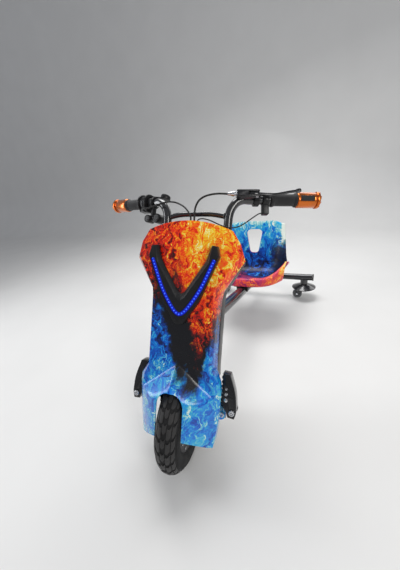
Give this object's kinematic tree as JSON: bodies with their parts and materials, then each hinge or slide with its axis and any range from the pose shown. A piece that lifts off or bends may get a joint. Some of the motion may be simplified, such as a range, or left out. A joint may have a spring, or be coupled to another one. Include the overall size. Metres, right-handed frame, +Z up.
{
  "type": "electric drift tricycle",
  "caption": "Rider-on electric drift tricycle: driven front wheel under a printed cowl, bucket seat on a slim frame, and swivelling rear casters on a cross beam.",
  "frame": {"origin": "on the floor, under the middle of the bounding box", "axes": "+Z up, -Y towards the front wheel, +X to the left of the rider, who faces -Y"},
  "size_m": [0.612, 1.1662, 0.6589],
  "materials": {
    "tyre": "matt",
    "motor_black": "satin",
    "bright_steel": "polished",
    "black_steel": "gloss",
    "cast_grey": "cast",
    "cowl_print": "printed flames under clear gloss",
    "black_plastic": "satin",
    "led_blue": "translucent",
    "battery_blue": "film wrap",
    "controller_alloy": "cast",
    "button_blue": "gloss",
    "button_red": "gloss",
    "button_green": "gloss",
    "grip_rubber": "matt",
    "orange_alloy": "anodised",
    "black_alloy": "anodised",
    "cord_black": "satin",
    "seat_print": "printed flames under clear satin",
    "caster_tread": "satin"
  },
  "bodies": {
    "frame": {"head_tube": "black_steel", "bearing_lower": "bright_steel", "bearing_upper": "bright_steel", "main_tube": "black_steel", "rear_tube": "black_steel", "length_bolt": "bright_steel", "axle_beam": "black_steel", "beam_cap_left": "black_plastic", "beam_cap_right": "black_plastic", "seat_shell": "seat_print", "seat_saddle_front": "black_steel", "seat_saddle_rear": "black_steel"},
    "steering": {"front_axle": "bright_steel", "brake_plate": "cast_grey", "fork_leg_left": "black_steel", "fork_leg_right": "black_steel", "fork_crown": "black_steel", "column_frame": "black_steel", "kingpin": "bright_steel", "cowl_front": "cowl_print", "cowl_rear": "black_plastic", "lamp_housing": "black_plastic", "led_strip": "led_blue", "battery_case": "battery_blue", "controller_case": "controller_alloy", "charge_port": "black_plastic", "riser_left": "black_steel", "riser_right": "black_steel", "crossbar": "black_steel", "grip_end_left": "orange_alloy", "grip_left": "grip_rubber", "brake_perch": "black_plastic", "barrel_adjuster": "bright_steel", "horn_switch": "black_plastic", "grip_end_right": "orange_alloy", "throttle_housing": "black_plastic", "switch_box": "black_plastic", "display_pod": "black_plastic", "cable_gland": "grip_rubber", "brake_cable": "cord_black", "throttle_cable": "cord_black", "switch_wire": "cord_black", "peg_bracket_left": "black_steel", "peg_bolt_left": "bright_steel", "peg_bracket_right": "black_steel", "peg_bolt_right": "bright_steel"},
    "front_wheel": {"tyre": "tyre", "hub_motor": "motor_black"},
    "throttle": {"throttle_grip": "grip_rubber"},
    "brake_hand_lever": {"brake_lever": "black_steel"},
    "brake_drum_arm": {"brake_arm": "bright_steel"},
    "foot_peg_left": {"peg_left": "black_alloy"},
    "foot_peg_right": {"peg_right": "black_alloy"},
    "horn": {"horn_button": "button_red"},
    "speed": {"speed_button": "button_green"},
    "power": {"power_button": "button_blue"},
    "caster_left": {"caster_swivel_left": "black_plastic"},
    "caster_right": {"caster_swivel_right": "black_plastic"},
    "caster_left_wheel": {"caster_wheel_left": "caster_tread"},
    "caster_right_wheel": {"caster_wheel_right": "caster_tread"}
  },
  "joints": [
    {"name": "steer", "type": "hinge", "parent": "frame", "child": "steering", "pos_m": [0, -0.32664, 0.29769], "axis": [0, 0.4179, 0.9085], "range_deg": [-48.5, 31.5]},
    {"name": "front_wheel_spin", "type": "hinge", "parent": "steering", "child": "front_wheel", "pos_m": [0.00709, -0.45769, 0.12637], "axis": [0.989, 0.1343, -0.0618], "continuous": true},
    {"name": "throttle_twist", "type": "hinge", "parent": "steering", "child": "throttle", "pos_m": [-0.20877, -0.20287, 0.63358], "axis": [-0.984, 0.178, -0.007], "range_deg": [0, 60], "stiffness_Nm_per_rad": 0.2, "springref_deg": -17.19},
    {"name": "brake_lever_pull", "type": "hinge", "parent": "steering", "child": "brake_hand_lever", "pos_m": [0.156, -0.20091, 0.63254], "axis": [-0.1299, 0.5117, 0.8493], "range_deg": [0, 9.5], "stiffness_Nm_per_rad": 1.5, "springref_deg": -11.46},
    {"name": "brake_arm_turn", "type": "hinge", "parent": "steering", "child": "brake_drum_arm", "pos_m": [-0.03345, -0.45233, 0.15253], "axis": [0.989, 0.1343, -0.0618], "range_deg": [0, 4.75]},
    {"name": "peg_left_fold", "type": "hinge", "parent": "steering", "child": "foot_peg_left", "pos_m": [0.13388, -0.43011, 0.16036], "axis": [-0.1478, 0.8985, -0.4133], "range_deg": [0, 90]},
    {"name": "peg_right_fold", "type": "hinge", "parent": "steering", "child": "foot_peg_right", "pos_m": [-0.11733, -0.46421, 0.17605], "axis": [0.1478, -0.8985, 0.4133], "range_deg": [0, 90]},
    {"name": "horn_press", "type": "slide", "parent": "steering", "child": "horn", "axis": [0.4462, -0.8131, 0.374], "range_m": [0, 0.0016], "stiffness_N_per_m": 300, "springref_m": -0.002},
    {"name": "speed_press", "type": "slide", "parent": "steering", "child": "speed", "axis": [-0.165, -0.896, 0.4121], "range_m": [0, 0.0016], "stiffness_N_per_m": 300, "springref_m": -0.002},
    {"name": "power_press", "type": "slide", "parent": "steering", "child": "power", "axis": [0.1478, -0.8985, 0.4133], "range_m": [0, 0.002], "stiffness_N_per_m": 300, "springref_m": -0.002},
    {"name": "caster_left_swivel", "type": "hinge", "parent": "frame", "child": "caster_left", "pos_m": [0.245, 0.52207, 0.07], "axis": [0, 0, 1], "continuous": true},
    {"name": "caster_right_swivel", "type": "hinge", "parent": "frame", "child": "caster_right", "pos_m": [-0.245, 0.52207, 0.07], "axis": [0, 0, 1], "continuous": true},
    {"name": "caster_left_wheel_spin", "type": "hinge", "parent": "caster_left", "child": "caster_left_wheel", "pos_m": [0.213, 0.52207, 0.025], "axis": [0, 1, 0], "continuous": true},
    {"name": "caster_right_wheel_spin", "type": "hinge", "parent": "caster_right", "child": "caster_right_wheel", "pos_m": [-0.213, 0.52207, 0.025], "axis": [0, 1, 0], "continuous": true}
  ],
  "couplings": [
    {"joint": "brake_arm_turn", "follows": "brake_lever_pull", "ratio": 0.5}
  ]
}
